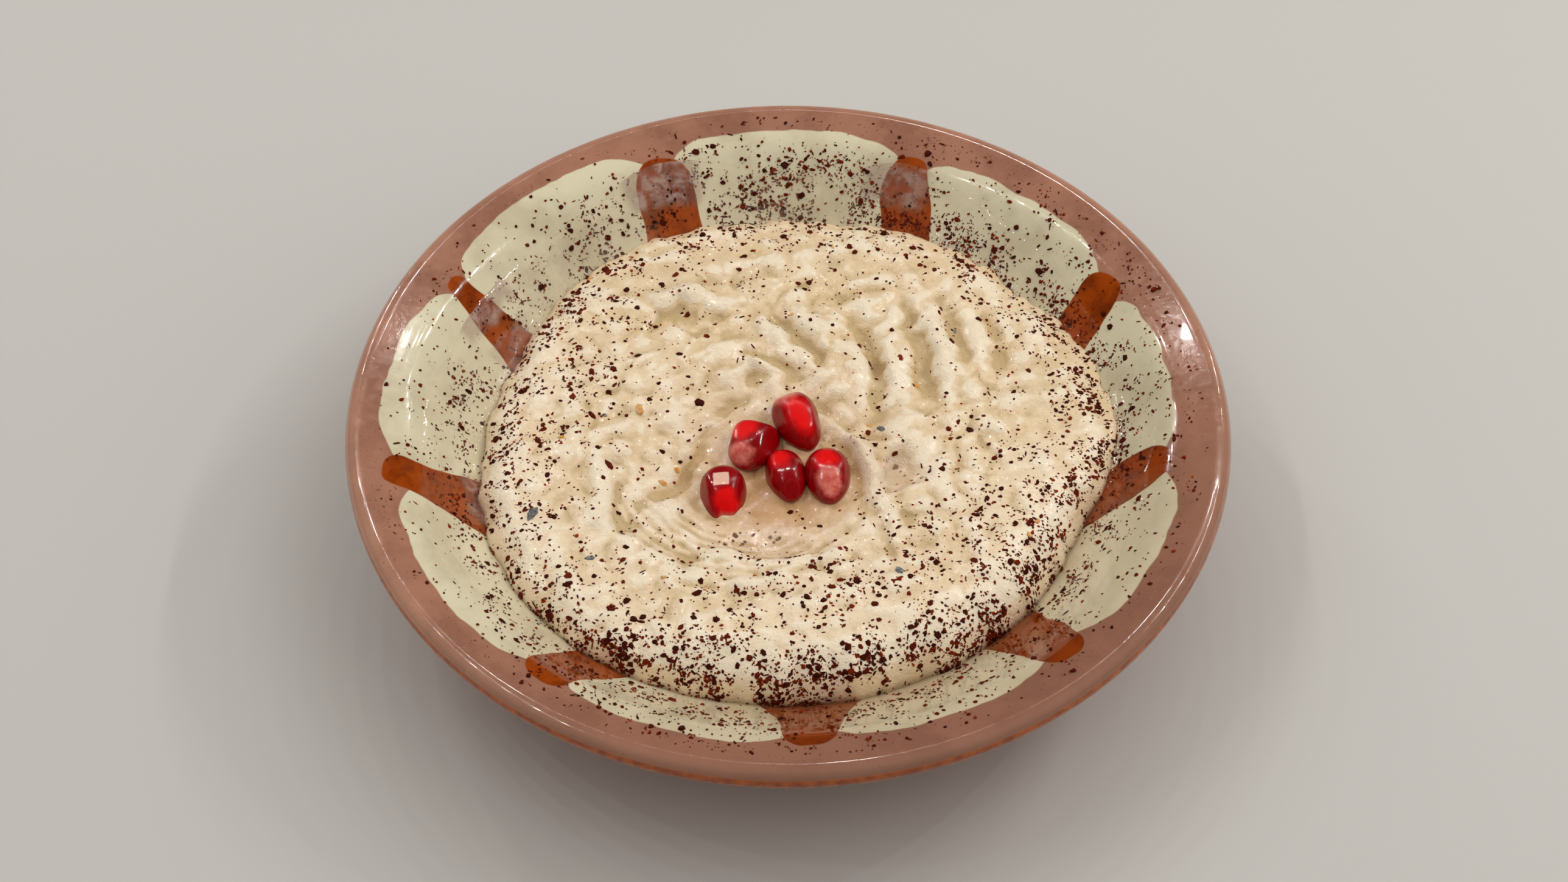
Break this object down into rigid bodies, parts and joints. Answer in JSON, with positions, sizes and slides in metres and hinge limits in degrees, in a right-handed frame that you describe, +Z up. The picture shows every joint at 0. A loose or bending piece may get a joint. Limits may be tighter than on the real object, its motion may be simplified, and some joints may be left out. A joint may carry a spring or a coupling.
{
  "type": "plate of aubergine dip",
  "caption": "Dished, glazed pottery plate on a foot ring, holding a mound of pale aubergine dip with spoon marks, pomegranate seeds, oil and sumac flakes.",
  "frame": {"origin": "middle of the foot ring, on the table", "axes": "+Z up out of the plate, +Y away from the viewer, +X to the viewer's right"},
  "size_m": [0.165, 0.165, 0.033],
  "materials": {
    "glaze": "gloss",
    "dip": "satin",
    "seed": "gloss",
    "oil": "gloss",
    "sumac": "satin"
  },
  "bodies": {
    "root": {"plate": "glaze", "dip": "dip", "oil_pool_near": "oil", "oil_pool_right": "oil", "seed_far": "seed", "seed_left": "seed", "seed_near": "seed", "seed_middle": "seed", "seed_right": "seed"}
  },
  "joints": []
}
